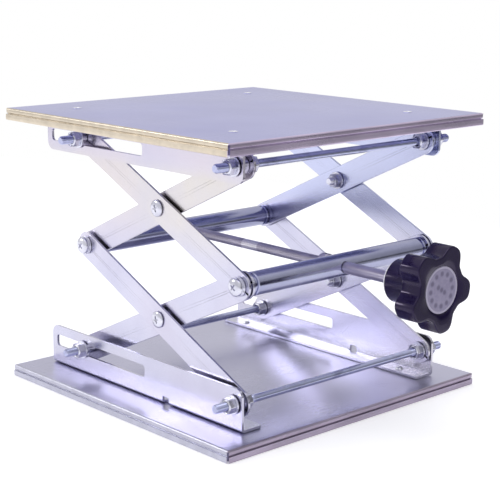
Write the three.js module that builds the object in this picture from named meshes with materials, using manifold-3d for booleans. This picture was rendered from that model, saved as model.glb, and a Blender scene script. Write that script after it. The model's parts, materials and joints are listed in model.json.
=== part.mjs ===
// Lab jack: a two-stage scissor lift between two square folded steel plates.
// Units are millimetres and +Z is up. The knob and the front crossbar are on the -Y side. The
// axles and crossbars run along X and the lead screw along Y. Left is -X and right is +X.
// The dimensions below are measured from the centre of the base plate's underside. The origin
// of the finished part is on that level too, at the middle of the whole footprint, knob and all.

import * as THREE from 'three';
import { mergeVertices } from 'three/addons/utils/BufferGeometryUtils.js';
import Module from 'manifold-3d';

// Plates
const PLATE_SIZE = 200;
const PLATE_DEPTH = 7.2;
const SHEET = 0.8;
const HEM = 1.8;
const CORNER_SLIT = 0.8;
const TOP_HEIGHT = 166;

// L-section brackets, riveted to the plates
const WEB_FACE = 77.8;
const BRACKET_SHEET = 1.5;
const BRACKET_WIDTH = 14.6;
const BRACKET_HEIGHT = 24;
const BRACKET_FRONT = -86;
const BRACKET_BACK = 88.5;
const BRACKET_CORNER = 5;
const BEND_RADIUS = 2;
const SLOT_FRONT = -3;
const SLOT_BACK = 84;
const SLOT_HEIGHT = 7.2;
const SLOT_CORNER = 2;
const NOTCH_CENTRE = -22;
const NOTCH_LENGTH = 5.6;
const NOTCH_HEIGHT = 4.4;

// Scissor linkage
const PIVOT_HEIGHT = 14.8;
const FRONT_PIVOT = -79.3;
const ARM_LENGTH = 150;
const ARM_WIDTH = 15.6;
const ARM_SHEET = 1.5;
const OUTER_ARM_FACE = 74;
const INNER_ARM_FACE = 71;

// Crossbars and the lead screw
const BAR_RADIUS = 6.5;
const BAR_HALF_LENGTH = 69.2;
const BAR_CHAMFER = 0.6;
const TAPPED_DEPTH = 14;
const JOURNAL_RADIUS = 3;
const SHANK_RADIUS = 3.4;
const SCREW_BACK_END = 82;
const SCREW_FRONT_END = -146;
const SCREW_CHAMFER = 0.8;
const COLLAR_RADIUS = 5.5;
const COLLAR_LENGTH = 5;

// M5 fasteners
const THREAD_RADIUS = 2.5;
const AXLE_RADIUS = 2.2;
const AXLE_HALF_LENGTH = 91.2;
const THREADED_LENGTH = 27;
const AXLE_CHAMFER = 0.6;
const HOLE_CLEARANCE = 0.3;
const NUT_FLATS = 8;
const NUT_THICKNESS = 4;
const WASHER = 1;
const PAN_HEAD_RADIUS = 5;
const PAN_HEAD_HEIGHT = 2.6;
const LOW_HEAD_RADIUS = 4.8;
const LOW_HEAD_HEIGHT = 1.8;
const CROSS_SCREW_STANDOUT = 3;
const TAP_RUNOUT = 2;
const BUSH_RADIUS = 3.3;
const SPACER_RADIUS = 4.5;

// Star knob
const KNOB_FRONT = -154.5;
const KNOB_LOBE_DEPTH = 13;
const KNOB_LENGTH = 30;
const KNOB_MEAN_RADIUS = 20.8;
const KNOB_LOBE_WAVE = 3.6;
const KNOB_LOBE_FLAT = 0.4;
const KNOB_LOBES = 5;
const KNOB_TURN = THREE.MathUtils.degToRad(63);
const KNOB_EDGE = 1.2;
const HUB_RADIUS = 12;
const CAP_RADIUS = 12.6;
const CAP_THICKNESS = 1.6;

// Gap left between pieces that touch, how far a cutter runs past what it cuts, and the
// distance under which two points are one
const GAP = 0.3;
const OVERSHOOT = 10;
const SAME_POINT = 1e-4;

// Facets on round surfaces, on a quarter round corner and on each lobe of the knob
const FINE = 28;
const COARSE = 16;
const CORNER_FACETS = 5;
const LOBE_FACETS = 12;

// Derived places
const LOW_PIVOT = PLATE_DEPTH + GAP + PIVOT_HEIGHT;
const HIGH_PIVOT = TOP_HEIGHT - SHEET - GAP - PIVOT_HEIGHT;
const MID_PIVOT = (LOW_PIVOT + HIGH_PIVOT) / 2;
const ARM_ANGLE = Math.asin((MID_PIVOT - LOW_PIVOT) / ARM_LENGTH);
const REAR_PIVOT = FRONT_PIVOT + ARM_LENGTH * Math.cos(ARM_ANGLE);
const CROSS_Y = (FRONT_PIVOT + REAR_PIVOT) / 2;
const LOW_CROSS = (LOW_PIVOT + MID_PIVOT) / 2;
const HIGH_CROSS = (HIGH_PIVOT + MID_PIVOT) / 2;
const HOLE_RADIUS = THREAD_RADIUS + HOLE_CLEARANCE;
const WEB_INSIDE = WEB_FACE - BRACKET_SHEET;
const OUTER_ARM_INSIDE = OUTER_ARM_FACE - ARM_SHEET;
const INNER_ARM_INSIDE = INNER_ARM_FACE - ARM_SHEET;

const wasm = await Module();
wasm.setup();

// Solids: joining and cutting

function solidOf(geometry) {
  const plain = geometry.clone();
  plain.deleteAttribute('normal');
  plain.deleteAttribute('uv');
  const merged = mergeVertices(plain, SAME_POINT);
  return new wasm.Manifold(new wasm.Mesh({
    numProp: 3,
    vertProperties: new Float32Array(merged.attributes.position.array),
    triVerts: new Uint32Array(merged.index.array),
  }));
}

function geometryOf(solid) {
  const mesh = solid.getMesh();
  const geometry = new THREE.BufferGeometry();
  geometry.setAttribute('position', new THREE.BufferAttribute(mesh.vertProperties, 3));
  geometry.setIndex(new THREE.BufferAttribute(mesh.triVerts, 1));
  geometry.computeVertexNormals();
  return geometry;
}

function cut(geometry, tools) {
  const result = tools.reduce((solid, tool) => solid.subtract(solidOf(tool)), solidOf(geometry));
  return geometryOf(result);
}

function join(geometries) {
  const solids = geometries.map(solidOf);
  return geometryOf(solids.reduce((whole, solid) => whole.add(solid)));
}

// Shapes

function box(x0, x1, y0, y1, z0, z1) {
  const geometry = new THREE.BoxGeometry(x1 - x0, y1 - y0, z1 - z0);
  return geometry.translate((x0 + x1) / 2, (y0 + y1) / 2, (z0 + z1) / 2);
}

function roundedRectangle(width, height, radius) {
  const x = width / 2;
  const y = height / 2;
  const shape = new THREE.Shape();
  shape.moveTo(x, y - radius);
  shape.absarc(x - radius, y - radius, radius, 0, Math.PI / 2);
  shape.absarc(radius - x, y - radius, radius, Math.PI / 2, Math.PI);
  shape.absarc(radius - x, radius - y, radius, Math.PI, 1.5 * Math.PI);
  shape.absarc(x - radius, radius - y, radius, 1.5 * Math.PI, 2 * Math.PI);
  return shape;
}

function roundHole(x, y, radius) {
  const hole = new THREE.Path();
  hole.absarc(x, y, radius, 0, 2 * Math.PI, true);
  return hole;
}

// Turns a flat outline drawn in X and Y to stand in Y and Z, with its thickness along +X
const STANDING = new THREE.Matrix4().makeBasis(
  new THREE.Vector3(0, 1, 0),
  new THREE.Vector3(0, 0, 1),
  new THREE.Vector3(1, 0, 0),
);

function sheetInYZ(shape, thickness) {
  const geometry = new THREE.ExtrudeGeometry(shape, {
    depth: thickness,
    bevelEnabled: false,
    curveSegments: CORNER_FACETS,
  });
  return geometry.applyMatrix4(STANDING);
}

// A turned piece on the X axis. Each profile point is [distance along X, radius].
function turnedAlongX(profile, segments) {
  const points = profile.map(([along, radius]) => new THREE.Vector2(radius, along));
  return new THREE.LatheGeometry(points, segments).rotateZ(-Math.PI / 2);
}

// A turned piece on the Y axis. Each profile point is [distance along Y, radius].
function turnedAlongY(profile, segments) {
  const points = profile.map(([along, radius]) => new THREE.Vector2(radius, along));
  return new THREE.LatheGeometry(points, segments);
}

function sleeveAlongX(length, outer, inner) {
  const half = length / 2;
  const profile = [[-half, inner], [-half, outer], [half, outer], [half, inner], [-half, inner]];
  return turnedAlongX(profile, COARSE);
}

// Plates: one sheet folded down on four sides, each flange hemmed double, with the four
// corners left as open slits. The base has two upright lugs that locate its brackets.

function folded() {
  const half = PLATE_SIZE / 2;
  const inside = half - HEM;
  const body = box(-half, half, -half, half, 0, PLATE_DEPTH);
  const roof = PLATE_DEPTH - SHEET;
  const hollow = box(-inside, inside, -inside, inside, -OVERSHOOT, roof);
  const slits = [];
  for (const x of [-half, half]) {
    for (const y of [-half, half]) {
      const slit = box(-2 * HEM, 2 * HEM, -CORNER_SLIT / 2, CORNER_SLIT / 2, -OVERSHOOT, roof);
      const along = Math.atan2(y, x);
      slits.push(slit.rotateZ(along).translate(x, y, 0));
    }
  }
  return cut(body, [hollow, ...slits]);
}

function locatingLug(side) {
  const outside = side * (WEB_FACE - GAP);
  const inside = side * (WEB_INSIDE - GAP);
  const half = NOTCH_LENGTH / 2 - GAP;
  const top = PLATE_DEPTH + NOTCH_HEIGHT - GAP;
  return box(
    Math.min(outside, inside), Math.max(outside, inside),
    NOTCH_CENTRE - half, NOTCH_CENTRE + half,
    PLATE_DEPTH - SHEET, top,
  );
}

// Brackets: an angle with its flange turned inward, a slot for the sliding axle and a hole
// for the fixed one. Local z = 0 is the flange face that lies against the plate.

function bracket(side) {
  const inner = WEB_FACE - BRACKET_WIDTH;
  const section = new THREE.Shape();
  const bend = BEND_RADIUS;
  const bendInside = BEND_RADIUS - BRACKET_SHEET;
  section.moveTo(side * inner, 0);
  section.lineTo(side * (WEB_FACE - bend), 0);
  section.quadraticCurveTo(side * WEB_FACE, 0, side * WEB_FACE, bend);
  section.lineTo(side * WEB_FACE, BRACKET_HEIGHT);
  section.lineTo(side * WEB_INSIDE, BRACKET_HEIGHT);
  section.lineTo(side * WEB_INSIDE, bend);
  section.quadraticCurveTo(
    side * WEB_INSIDE, BRACKET_SHEET,
    side * (WEB_INSIDE - bendInside), BRACKET_SHEET,
  );
  section.lineTo(side * inner, BRACKET_SHEET);
  const length = BRACKET_BACK - BRACKET_FRONT;
  const angle = new THREE.ExtrudeGeometry(section, {
    depth: length,
    bevelEnabled: false,
    curveSegments: CORNER_FACETS,
  });
  angle.rotateX(Math.PI / 2).translate(0, BRACKET_BACK, 0);

  const middle = (BRACKET_FRONT + BRACKET_BACK) / 2;
  const reach = WEB_FACE + OVERSHOOT;
  const outline = roundedRectangle(length, 2 * BRACKET_HEIGHT, BRACKET_CORNER);
  const blank = sheetInYZ(outline, 2 * reach).translate(-reach, middle, 0);
  const trimmed = solidOf(angle).intersect(solidOf(blank));

  const slotShape = roundedRectangle(SLOT_BACK - SLOT_FRONT, SLOT_HEIGHT, SLOT_CORNER);
  const slot = sheetInYZ(slotShape, 2 * reach);
  slot.translate(-reach, (SLOT_FRONT + SLOT_BACK) / 2, PIVOT_HEIGHT);
  const pivotProfile = [[-reach, 0], [-reach, HOLE_RADIUS], [reach, HOLE_RADIUS], [reach, 0]];
  const pivot = turnedAlongX(pivotProfile, COARSE);
  pivot.translate(0, FRONT_PIVOT, PIVOT_HEIGHT);
  const notch = box(
    -reach, reach,
    NOTCH_CENTRE - NOTCH_LENGTH / 2, NOTCH_CENTRE + NOTCH_LENGTH / 2,
    -OVERSHOOT, NOTCH_HEIGHT,
  );
  const kept = WEB_INSIDE - BEND_RADIUS;
  const foot = box(-kept, kept, BRACKET_FRONT, BRACKET_BACK, -OVERSHOOT, BEND_RADIUS);
  const notchAtBend = cut(notch, [foot]);
  return cut(geometryOf(trimmed), [slot, pivot, notchAtBend]);
}

// Arms: a flat bar with round ends and three holes, drawn about its middle hole.

function arm() {
  const shape = roundedRectangle(ARM_LENGTH + ARM_WIDTH, ARM_WIDTH, ARM_WIDTH / 2 - SAME_POINT);
  for (const place of [-ARM_LENGTH / 2, 0, ARM_LENGTH / 2]) {
    shape.holes.push(roundHole(place, 0, HOLE_RADIUS));
  }
  return sheetInYZ(shape, ARM_SHEET);
}

// Crossbars: solid round bar, tapped at both ends, with a cross bore for the lead screw.

function crossbar(boreRadius) {
  const end = BAR_HALF_LENGTH;
  const bottom = end - TAPPED_DEPTH;
  const body = turnedAlongX([
    [-bottom, 0],
    [-bottom, HOLE_RADIUS],
    [-end, HOLE_RADIUS],
    [-end, BAR_RADIUS - BAR_CHAMFER],
    [BAR_CHAMFER - end, BAR_RADIUS],
    [end - BAR_CHAMFER, BAR_RADIUS],
    [end, BAR_RADIUS - BAR_CHAMFER],
    [end, HOLE_RADIUS],
    [bottom, HOLE_RADIUS],
    [bottom, 0],
  ], FINE);
  const reach = 2 * BAR_RADIUS;
  const bore = turnedAlongY([[-reach, 0], [-reach, boreRadius], [reach, boreRadius], [reach, 0]], FINE);
  return cut(body, [bore]);
}

// Lead screw: a thicker shank at the knob, a shoulder on the front crossbar, then the thread.

function leadScrew() {
  const shoulder = FRONT_PIVOT - BAR_RADIUS - GAP;
  return turnedAlongY([
    [SCREW_FRONT_END, 0],
    [SCREW_FRONT_END, SHANK_RADIUS],
    [shoulder, SHANK_RADIUS],
    [shoulder, JOURNAL_RADIUS],
    [SCREW_BACK_END - SCREW_CHAMFER, JOURNAL_RADIUS],
    [SCREW_BACK_END, JOURNAL_RADIUS - SCREW_CHAMFER],
    [SCREW_BACK_END, 0],
  ], COARSE);
}

function screwCollar() {
  const inner = JOURNAL_RADIUS + GAP;
  const start = FRONT_PIVOT + BAR_RADIUS + GAP;
  const end = start + COLLAR_LENGTH;
  return turnedAlongY([
    [start, inner],
    [start, COLLAR_RADIUS],
    [end, COLLAR_RADIUS],
    [end, inner],
    [start, inner],
  ], COARSE);
}

// Axles: plain round rod with a longer, slightly thicker thread rolled on each end.

function axle() {
  const end = AXLE_HALF_LENGTH;
  const thread = end - THREADED_LENGTH;
  return turnedAlongX([
    [-end, 0],
    [-end, THREAD_RADIUS - AXLE_CHAMFER],
    [AXLE_CHAMFER - end, THREAD_RADIUS],
    [-thread, THREAD_RADIUS],
    [-thread, AXLE_RADIUS],
    [thread, AXLE_RADIUS],
    [thread, THREAD_RADIUS],
    [end - AXLE_CHAMFER, THREAD_RADIUS],
    [end, THREAD_RADIUS - AXLE_CHAMFER],
    [end, 0],
  ], COARSE);
}

function hexNut() {
  const corner = NUT_FLATS / Math.sqrt(3);
  const corners = [30, 90, 150, 210, 270, 330].map((degrees) => {
    const angle = THREE.MathUtils.degToRad(degrees);
    return new THREE.Vector2(corner * Math.cos(angle), corner * Math.sin(angle));
  });
  const shape = new THREE.Shape(corners);
  shape.holes.push(roundHole(0, 0, HOLE_RADIUS));
  return sheetInYZ(shape, NUT_THICKNESS).translate(-NUT_THICKNESS / 2, 0, 0);
}

// A round-headed machine screw on the X axis. The head's underside is at x = 0, the head
// stands towards -X and the shank runs towards +X. The head's crown follows an ellipse, in
// three steps, above a straight rim.
function machineScrew(headRadius, headHeight, length) {
  const rim = headHeight / 3;
  const crown = headHeight - rim;
  const steps = [75, 50, 25, 0].map((degrees) => {
    const angle = THREE.MathUtils.degToRad(degrees);
    return [-rim - crown * Math.sin(angle), headRadius * Math.cos(angle)];
  });
  return turnedAlongX([
    [steps[0][0], 0],
    ...steps,
    [0, headRadius],
    [0, THREAD_RADIUS],
    [length, THREAD_RADIUS],
    [length, 0],
  ], COARSE);
}

// Star knob: a five-lobed head on a round hub, bored for the screw, with a round recess for
// the cap in its face. It is drawn with its face at z = 0 and its hub towards -Z.

function knob() {
  const count = LOBE_FACETS * KNOB_LOBES;
  const outline = [];
  for (let i = 0; i < count; i += 1) {
    const turn = i / count * 2 * Math.PI;
    const wave = KNOB_LOBE_WAVE * Math.cos(KNOB_LOBES * turn);
    const flat = KNOB_LOBE_FLAT * Math.cos(3 * KNOB_LOBES * turn);
    const radius = KNOB_MEAN_RADIUS + wave - flat - KNOB_EDGE;
    const angle = turn + KNOB_TURN;
    outline.push(new THREE.Vector2(radius * Math.cos(angle), radius * Math.sin(angle)));
  }
  const head = new THREE.ExtrudeGeometry(new THREE.Shape(outline), {
    depth: KNOB_LOBE_DEPTH - 2 * KNOB_EDGE,
    bevelThickness: KNOB_EDGE,
    bevelSize: KNOB_EDGE,
    bevelSegments: 2,
  });
  head.translate(0, 0, KNOB_EDGE - KNOB_LOBE_DEPTH);
  const hub = turnedAlongY([
    [-KNOB_LENGTH, 0],
    [-KNOB_LENGTH, HUB_RADIUS - KNOB_EDGE],
    [KNOB_EDGE - KNOB_LENGTH, HUB_RADIUS],
    [-KNOB_LOBE_DEPTH / 2, HUB_RADIUS],
    [-KNOB_LOBE_DEPTH / 2, 0],
  ], FINE).rotateX(Math.PI / 2);
  const bore = turnedAlongY([
    [-2 * KNOB_LENGTH, 0],
    [-2 * KNOB_LENGTH, SHANK_RADIUS + GAP],
    [KNOB_FRONT - SCREW_FRONT_END + GAP, SHANK_RADIUS + GAP],
    [KNOB_FRONT - SCREW_FRONT_END + GAP, 0],
  ], COARSE).rotateX(Math.PI / 2);
  const recess = turnedAlongY([
    [-CAP_THICKNESS - GAP, 0],
    [-CAP_THICKNESS - GAP, CAP_RADIUS + GAP],
    [OVERSHOOT, CAP_RADIUS + GAP],
    [OVERSHOOT, 0],
  ], FINE).rotateX(Math.PI / 2);
  return cut(join([head, hub]), [bore, recess]);
}

function knobCap() {
  return turnedAlongY([
    [-CAP_THICKNESS, 0],
    [-CAP_THICKNESS, CAP_RADIUS],
    [-GAP, CAP_RADIUS],
    [0, CAP_RADIUS - GAP],
    [0, 0],
  ], FINE).rotateX(Math.PI / 2);
}

// Finishes

function finish(color, roughness, metalness) {
  return new THREE.MeshStandardMaterial({ color, roughness, metalness });
}

const BRUSHED = () => finish(0xb9b8cc, 0.35, 1);
const ZINC = () => finish(0xd4d4ea, 0.3, 1);
const CHROME = () => finish(0xc8cede, 0.12, 1);
const SCREW_STEEL = () => finish(0x9a94a2, 0.35, 1);
const BLACK_PLASTIC = () => finish(0x231d2b, 0.35, 0);
const CAP_PLASTIC = () => finish(0x968ca5, 0.5, 0);

// Assembly

const jack = new THREE.Group();
jack.position.y = -(KNOB_FRONT + PLATE_SIZE / 2) / 2;

function place(parent, name, geometry, material, x, y, z) {
  const mesh = new THREE.Mesh(geometry, material);
  mesh.name = name;
  mesh.position.set(x, y, z);
  parent.add(mesh);
  return mesh;
}

const SIDES = [['left', -1], ['right', 1]];

const base = new THREE.Group();
const top = new THREE.Group();
const linkage = new THREE.Group();
const drive = new THREE.Group();
top.position.z = TOP_HEIGHT;
drive.position.z = MID_PIVOT;
jack.add(base, linkage, drive, top);

const basePlate = join([folded(), locatingLug(-1), locatingLug(1)]);
place(base, 'base_plate', basePlate, BRUSHED(), 0, 0, 0);
place(top, 'top_plate', folded(), BRUSHED(), 0, 0, -PLATE_DEPTH);

for (const [name, side] of SIDES) {
  place(base, `lower_bracket_${name}`, bracket(side), ZINC(), 0, 0, PLATE_DEPTH + GAP);
  // The upper bracket is the lower one of the other side, turned over about Y
  const turned = place(top, `upper_bracket_${name}`, bracket(-side), ZINC(), 0, 0, -SHEET - GAP);
  turned.rotation.y = Math.PI;
}

// Each arm is named by its stage and by whether it lies outside or inside its partner.
// lean is +1 for an arm that rises to the rear and -1 for one that rises to the front.
const ARMS = [
  ['lower_outer_arm', OUTER_ARM_FACE, LOW_CROSS, 1],
  ['lower_inner_arm', INNER_ARM_FACE, LOW_CROSS, -1],
  ['upper_outer_arm', OUTER_ARM_FACE, HIGH_CROSS, 1],
  ['upper_inner_arm', INNER_ARM_FACE, HIGH_CROSS, -1],
];

for (const [armName, face, height, lean] of ARMS) {
  for (const [name, side] of SIDES) {
    const x = side < 0 ? -face : face - ARM_SHEET;
    const mesh = place(linkage, `${armName}_${name}`, arm(), ZINC(), x, CROSS_Y, height);
    mesh.rotation.x = lean * ARM_ANGLE;
  }
}

// Screws and nuts at the middle of each pair of arms
const CROSS_SCREW_SEAT = OUTER_ARM_FACE + GAP;
const CROSS_GRIP = CROSS_SCREW_SEAT - INNER_ARM_INSIDE + WASHER + NUT_THICKNESS;
const CROSS_SCREW_LENGTH = CROSS_GRIP + CROSS_SCREW_STANDOUT;
const CROSS_NUT = INNER_ARM_INSIDE - GAP - WASHER - NUT_THICKNESS / 2;

for (const [stage, height] of [['lower', LOW_CROSS], ['upper', HIGH_CROSS]]) {
  for (const [name, side] of SIDES) {
    const screw = machineScrew(LOW_HEAD_RADIUS, LOW_HEAD_HEIGHT, CROSS_SCREW_LENGTH);
    const seat = side * CROSS_SCREW_SEAT;
    const mesh = place(linkage, `${stage}_cross_screw_${name}`, screw, ZINC(), seat, CROSS_Y, height);
    mesh.rotation.y = side > 0 ? Math.PI : 0;
    const nut = side * CROSS_NUT;
    place(linkage, `${stage}_cross_nut_${name}`, hexNut(), ZINC(), nut, CROSS_Y, height);
  }
}

// Crossbars, each held between the arms by a screw in each end
const BAR_SCREW_SEAT = OUTER_ARM_FACE + GAP + 2 * WASHER;
const BAR_SCREW_LENGTH = BAR_SCREW_SEAT - BAR_HALF_LENGTH + TAPPED_DEPTH - TAP_RUNOUT;

for (const [bar, y] of [['front', FRONT_PIVOT], ['rear', REAR_PIVOT]]) {
  place(drive, `${bar}_crossbar`, crossbar(JOURNAL_RADIUS + GAP), CHROME(), 0, y, 0);
  for (const [name, side] of SIDES) {
    const screw = machineScrew(PAN_HEAD_RADIUS, PAN_HEAD_HEIGHT, BAR_SCREW_LENGTH);
    const mesh = place(drive, `${bar}_bar_screw_${name}`, screw, ZINC(), side * BAR_SCREW_SEAT, y, 0);
    mesh.rotation.y = side > 0 ? Math.PI : 0;
  }
}

place(drive, 'lead_screw', leadScrew(), SCREW_STEEL(), 0, 0, 0);
place(drive, 'screw_collar', screwCollar(), SCREW_STEEL(), 0, 0, 0);
place(drive, 'knob', knob(), BLACK_PLASTIC(), 0, KNOB_FRONT, 0).rotation.x = Math.PI / 2;
place(drive, 'knob_cap', knobCap(), CAP_PLASTIC(), 0, KNOB_FRONT, 0).rotation.x = Math.PI / 2;

// Axles with their nuts, bushes and spacers. armInside is the inner face of the arm that the
// axle carries, and armOutside is that arm's outer face.
const AXLES = [
  ['lower_fixed', FRONT_PIVOT, LOW_PIVOT, OUTER_ARM_FACE, OUTER_ARM_INSIDE],
  ['lower_sliding', REAR_PIVOT, LOW_PIVOT, INNER_ARM_FACE, INNER_ARM_INSIDE],
  ['upper_fixed', FRONT_PIVOT, HIGH_PIVOT, INNER_ARM_FACE, INNER_ARM_INSIDE],
  ['upper_sliding', REAR_PIVOT, HIGH_PIVOT, OUTER_ARM_FACE, OUTER_ARM_INSIDE],
];
const OUTER_NUT = WEB_FACE + 2 * GAP + WASHER + NUT_THICKNESS / 2;

for (const [axleName, y, z, armOutside, armInside] of AXLES) {
  place(linkage, `${axleName}_axle`, axle(), ZINC(), 0, y, z);
  const innerNut = armInside - GAP - WASHER - NUT_THICKNESS / 2;
  const sliding = axleName.endsWith('sliding');
  const sleeveStart = armOutside + GAP;
  const sleeveEnd = sliding ? WEB_FACE + GAP : WEB_INSIDE - GAP;
  const sleeveRadius = sliding ? BUSH_RADIUS : SPACER_RADIUS;
  const sleeveName = sliding ? 'bush' : 'spacer';
  for (const [name, side] of SIDES) {
    place(linkage, `${axleName}_outer_nut_${name}`, hexNut(), ZINC(), side * OUTER_NUT, y, z);
    place(linkage, `${axleName}_inner_nut_${name}`, hexNut(), ZINC(), side * innerNut, y, z);
    const sleeve = sleeveAlongX(sleeveEnd - sleeveStart, sleeveRadius, HOLE_RADIUS);
    const middle = side * (sleeveStart + sleeveEnd) / 2;
    place(linkage, `${axleName}_${sleeveName}_${name}`, sleeve, ZINC(), middle, y, z);
  }
}

export default jack;
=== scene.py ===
import json
import math

import bmesh
import bpy
from mathutils import Matrix, Vector

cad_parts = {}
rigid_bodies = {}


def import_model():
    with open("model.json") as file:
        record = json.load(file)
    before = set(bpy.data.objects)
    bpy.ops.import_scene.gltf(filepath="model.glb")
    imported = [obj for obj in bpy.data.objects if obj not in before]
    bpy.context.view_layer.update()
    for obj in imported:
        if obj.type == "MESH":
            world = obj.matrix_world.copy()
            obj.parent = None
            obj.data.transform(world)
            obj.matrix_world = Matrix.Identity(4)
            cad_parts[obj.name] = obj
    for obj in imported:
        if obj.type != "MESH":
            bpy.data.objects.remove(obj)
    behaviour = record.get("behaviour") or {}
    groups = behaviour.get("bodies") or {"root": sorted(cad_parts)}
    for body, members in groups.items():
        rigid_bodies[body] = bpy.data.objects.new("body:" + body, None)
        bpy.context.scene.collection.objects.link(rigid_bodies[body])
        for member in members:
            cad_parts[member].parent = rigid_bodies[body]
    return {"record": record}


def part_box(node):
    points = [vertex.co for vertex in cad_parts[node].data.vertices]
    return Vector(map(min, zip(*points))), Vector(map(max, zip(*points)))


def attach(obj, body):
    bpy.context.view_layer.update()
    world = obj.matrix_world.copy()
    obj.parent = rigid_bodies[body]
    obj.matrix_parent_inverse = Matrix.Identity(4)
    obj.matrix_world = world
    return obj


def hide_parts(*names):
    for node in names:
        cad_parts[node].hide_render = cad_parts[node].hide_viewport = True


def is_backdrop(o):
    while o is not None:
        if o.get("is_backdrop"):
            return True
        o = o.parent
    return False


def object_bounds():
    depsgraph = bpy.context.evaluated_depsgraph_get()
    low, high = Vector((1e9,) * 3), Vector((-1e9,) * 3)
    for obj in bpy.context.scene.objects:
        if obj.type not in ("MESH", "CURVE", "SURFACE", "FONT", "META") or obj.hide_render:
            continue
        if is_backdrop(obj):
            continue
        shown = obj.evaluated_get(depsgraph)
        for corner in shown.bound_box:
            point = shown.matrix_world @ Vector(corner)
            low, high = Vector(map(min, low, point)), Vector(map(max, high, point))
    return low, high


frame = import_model()
cad_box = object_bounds()

# Lab jack: two square folded plates, lifted by two stages of crossed arms that a lead screw draws
# together. Lengths are in metres, X runs along the axles and the knob is on the -Y side.
MM = 0.001


# ---------------------------------------------------------------------------------------------
# Base plate and top plate. Two shallow trays of 0.8 mm satin stainless sheet. The sides are
# folded down and set in below the bend, and the lower edge is hemmed outward into that step. The
# raw edge shows as a line half way up the side. The corners aren't joined: each has a slit, with
# a small angle of the same sheet behind it.

PLATE_SHEET = 0.8 * MM
PLATE_DEPTH = 7.2 * MM
FOLD_RADIUS = 0.85 * MM
HEM_RADIUS = 0.46 * MM
HEM_RETURN = 2.7 * MM
STEP_RADIUS = 0.45 * MM
STEP_ANGLE = math.radians(70)
STEP_DROP = 1.1 * MM
CORNER_SLIT = 1.1 * MM
SLIT_REACH = 4 * MM
TAB_GAP = 0.15 * MM
TAB_LEG = 5 * MM
TAB_LIFT = 1 * MM
TAB_EDGE = 0.15 * MM
BEVEL_FROM = math.radians(40)
SHARP_FROM = math.radians(32)

RIDES_ON = {
    node: body
    for body, nodes in frame["record"]["behaviour"]["bodies"].items()
    for node in nodes
}


class Field:
    """A socket in a material. Sums and products of fields add their Math nodes."""

    def __init__(self, tree, socket=None):
        self.tree = tree
        self.socket = socket

    def node(self, kind, settings, inputs, output=0):
        """Adds a node: its settings are set first, then its sockets are filled or linked."""
        made = self.tree.nodes.new(kind)
        for name, value in settings.items():
            setattr(made, name, value)
        for name, value in inputs.items():
            if isinstance(value, Field):
                self.tree.links.new(value.socket, made.inputs[name])
            else:
                made.inputs[name].default_value = value
        return Field(self.tree, made.outputs[output])

    def math(self, operation, *values):
        return self.node("ShaderNodeMath", {"operation": operation}, dict(enumerate(values)))

    def __add__(self, other):
        return self.math("ADD", self, other)

    def __sub__(self, other):
        return self.math("SUBTRACT", self, other)

    def __rsub__(self, other):
        return self.math("SUBTRACT", other, self)

    def __mul__(self, other):
        return self.math("MULTIPLY", self, other)

    __radd__ = __add__
    __rmul__ = __mul__

    def size(self):
        return self.math("ABSOLUTE", self)

    def root(self):
        return self.math("SQRT", self)

    def either(self, other):
        return self.math("MAXIMUM", self, other)

    def step(self, start, end):
        """0 before start and 1 after end, with a smooth rise between them."""
        limits = {"Value": self, "From Min": start, "From Max": end}
        return self.node("ShaderNodeMapRange", {"interpolation_type": "SMOOTHSTEP"}, limits)

    def along(self, axis):
        return self.node("ShaderNodeSeparateXYZ", {}, {"Vector": self}, axis)

    def stretched(self, *scale):
        """The same place with its coordinates multiplied, which squeezes a pattern along them."""
        inputs = {"Vector": self, "Scale": scale}
        return self.node("ShaderNodeMapping", {"vector_type": "POINT"}, inputs)

    def noise(self, scale, detail=2, roughness=0.5):
        inputs = {"Vector": self, "Scale": scale, "Detail": detail, "Roughness": roughness}
        return self.node("ShaderNodeTexNoise", {}, inputs)

    def blend(self, one, other):
        """Colour one where this field is 0 and colour other where it is 1."""
        colours = {"Factor": self, 6: rgba(one), 7: rgba(other)}
        return self.node("ShaderNodeMix", {"data_type": "RGBA"}, colours, 2)

    def relief(self, distance, strength=1):
        """A surface normal from this field as a height, where 1 stands for distance."""
        inputs = {"Height": self, "Distance": distance, "Strength": strength}
        return self.node("ShaderNodeBump", {}, inputs)


def rgba(colour):
    return colour if isinstance(colour, Field) else (*colour, 1)


def finish(name, surface):
    """A material. surface turns a place on the piece into the values of the shader's sockets."""
    made = bpy.data.materials.new(name)
    made.use_nodes = True
    tree = made.node_tree
    tree.nodes.clear()
    place = Field(tree).node("ShaderNodeTexCoord", {}, {}, "Object")
    shader = place.node("ShaderNodeBsdfPrincipled", {}, surface(place))
    out = tree.nodes.new("ShaderNodeOutputMaterial")
    tree.links.new(shader.socket, out.inputs["Surface"])
    return made


def turned(stations, columns, shape=None):
    """A body of rings about its own Z axis, one for each (height, radius) station. The stations
    close on themselves or end on the axis. shape changes a ring's radius with its angle."""
    body = bmesh.new()
    closed = stations[0] == stations[-1]
    rings = []
    for height, radius in stations[:-1] if closed else stations:
        ring = []
        for column in range(columns):
            angle = 2 * math.pi * (column + 0.5) / columns
            reach = shape(height, angle, radius) if shape else radius
            ring.append(body.verts.new((reach * math.cos(angle), reach * math.sin(angle), height)))
        rings.append(ring)
    for lower, upper in zip(rings, rings[1:] + rings[:1] if closed else rings[1:]):
        for column in range(columns):
            beside = (column + 1) % columns
            body.faces.new((lower[column], lower[beside], upper[beside], upper[column]))
    bmesh.ops.remove_doubles(body, verts=body.verts, dist=1e-7)
    bmesh.ops.recalc_face_normals(body, faces=body.faces)
    return body


def moved(body, place, turn=Matrix()):
    bmesh.ops.transform(body, matrix=Matrix.Translation(place) @ turn, verts=body.verts)
    return body


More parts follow.
